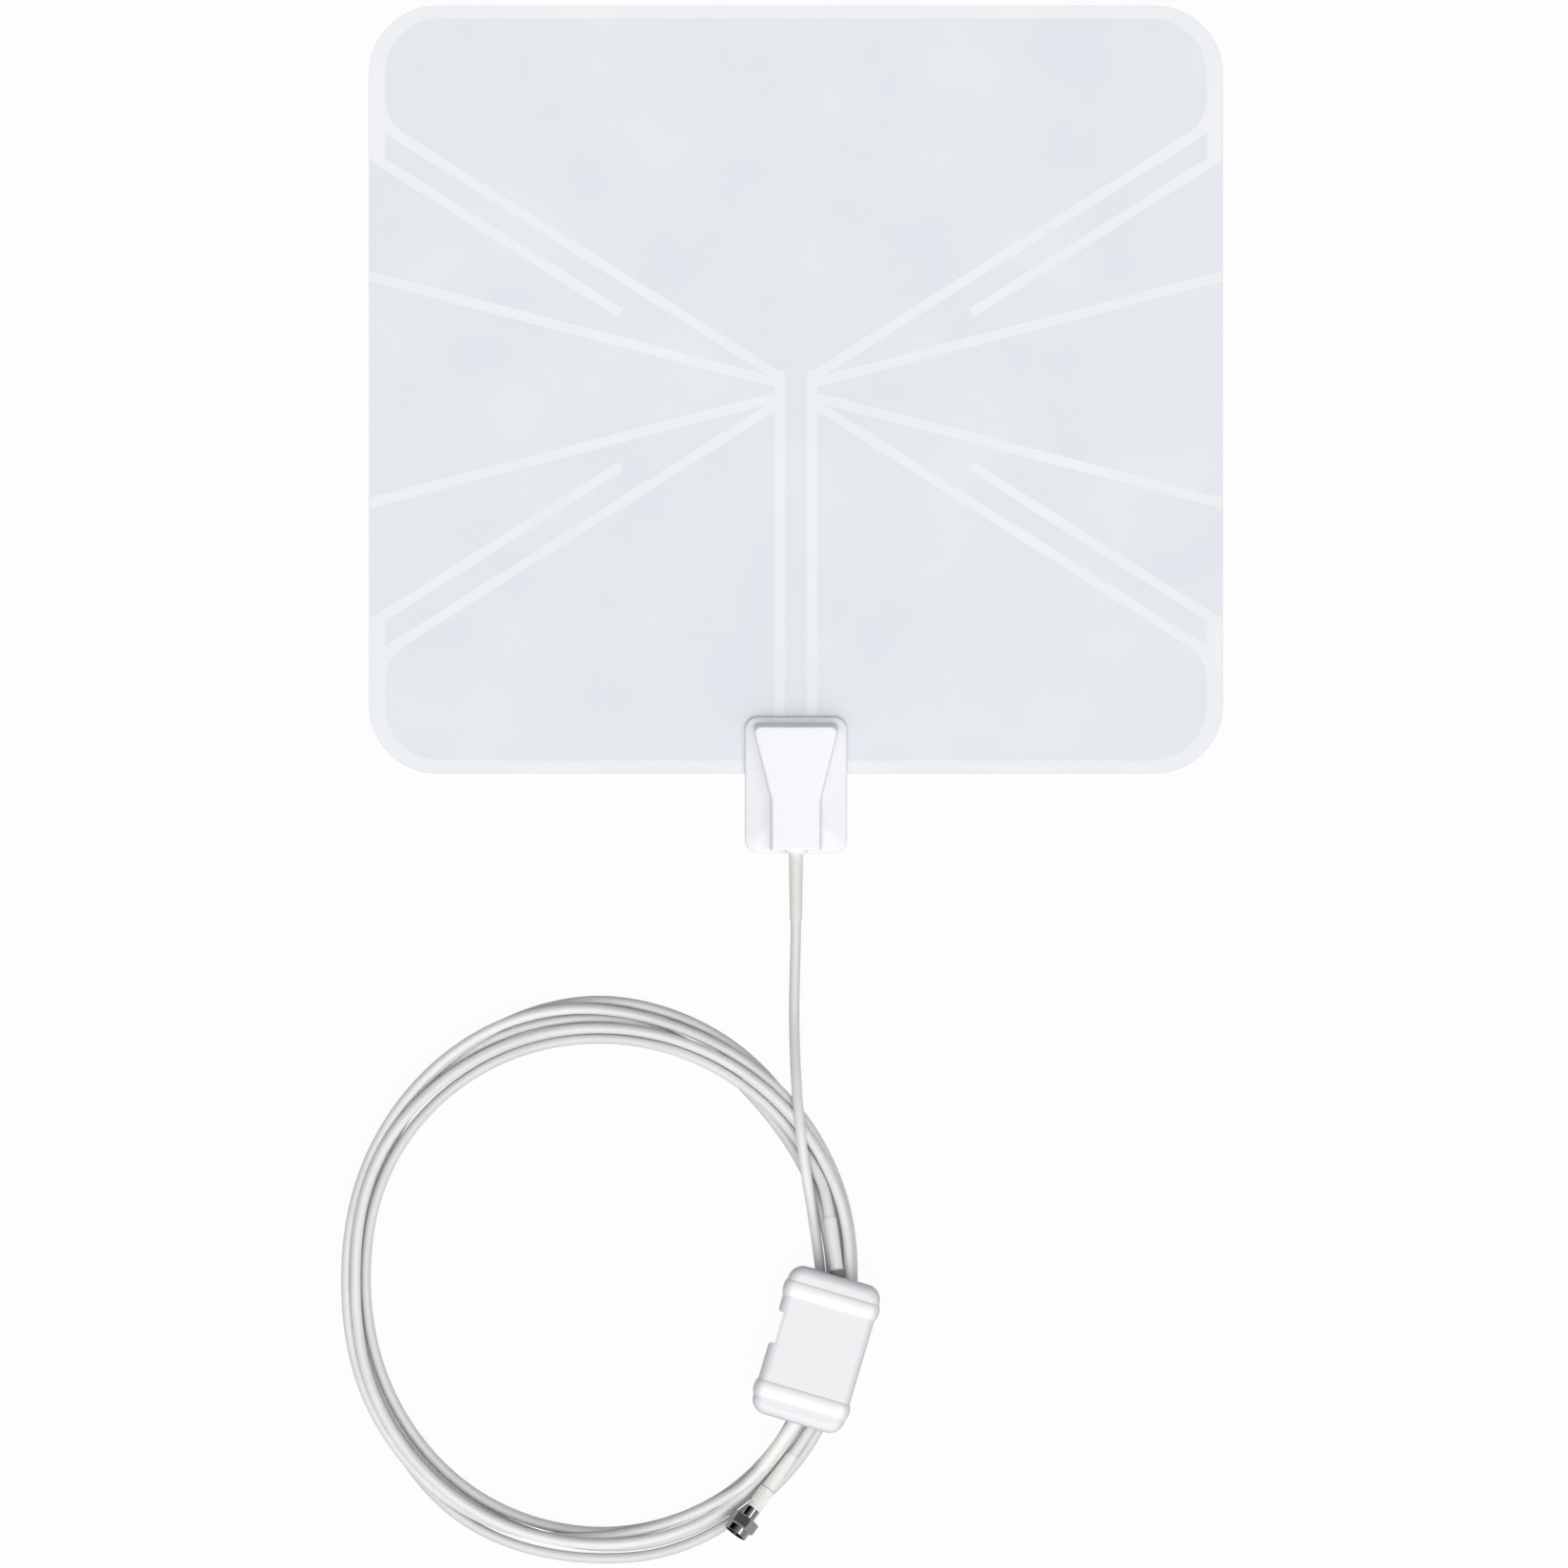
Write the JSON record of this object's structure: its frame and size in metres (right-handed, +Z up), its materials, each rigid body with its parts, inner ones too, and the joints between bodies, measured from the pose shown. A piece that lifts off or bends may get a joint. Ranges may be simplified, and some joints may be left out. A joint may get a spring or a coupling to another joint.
{
  "type": "flat indoor television antenna",
  "caption": "Thin square indoor television antenna sheet with a printed fan conductor, a small moulded base and a coiled coaxial lead carrying an in-line amplifier and a threaded plug.",
  "frame": {"origin": "on the resting surface, below the middle of the box around the panel and its base, without the cord and what is on it", "axes": "+Z up out of the printed face, +Y from the base towards the far edge of the panel, +X to the right seen from the printed face"},
  "size_m": [0.3472, 0.614, 0.0229],
  "materials": {
    "panel_film": "fine matt film",
    "printed_ink": "pale conductive print under the film",
    "base_plastic": "smooth moulded white",
    "amp_plastic": "smooth moulded cool white",
    "lead_jacket": "satin vinyl jacket",
    "board": "solder mask",
    "ferrite": "sintered",
    "spring_brass": "bare",
    "screw_steel": "plated",
    "nickel": "dull nickel plate",
    "insulator": "natural",
    "grommet_rubber": "dull dark grey rubber"
  },
  "bodies": {
    "antenna": {"antenna_panel": "panel_film", "printed_element": "printed_ink", "base_front_cover": "base_plastic", "base_rear_cover": "base_plastic", "balun_board": "board", "balun_core": "ferrite", "feed_contacts": "spring_brass", "base_screws": "screw_steel", "base_strain_relief": "lead_jacket", "antenna_lead": "lead_jacket", "cable_coil": "lead_jacket", "amp_input_lead": "lead_jacket", "amp_output_lead": "lead_jacket", "amp_top_cover": "amp_plastic", "amp_bottom_cover": "amp_plastic", "input_grommet": "grommet_rubber", "amp_screws": "screw_steel", "amp_board": "board", "shield_can": "screw_steel", "power_socket": "screw_steel", "input_sleeve": "lead_jacket", "output_sleeve": "lead_jacket", "plug_sleeve": "lead_jacket", "plug_grip": "lead_jacket", "plug_body": "nickel", "plug_insulator": "insulator", "centre_pin": "spring_brass"},
    "nut": {"coupling_nut": "nickel"}
  },
  "joints": [
    {"name": "nut_spin", "type": "hinge", "parent": "antenna", "child": "nut", "pos_m": [-0.02087, -0.43014, 0.01125], "axis": [-0.5844, -0.7927, 0.1736], "continuous": true}
  ]
}
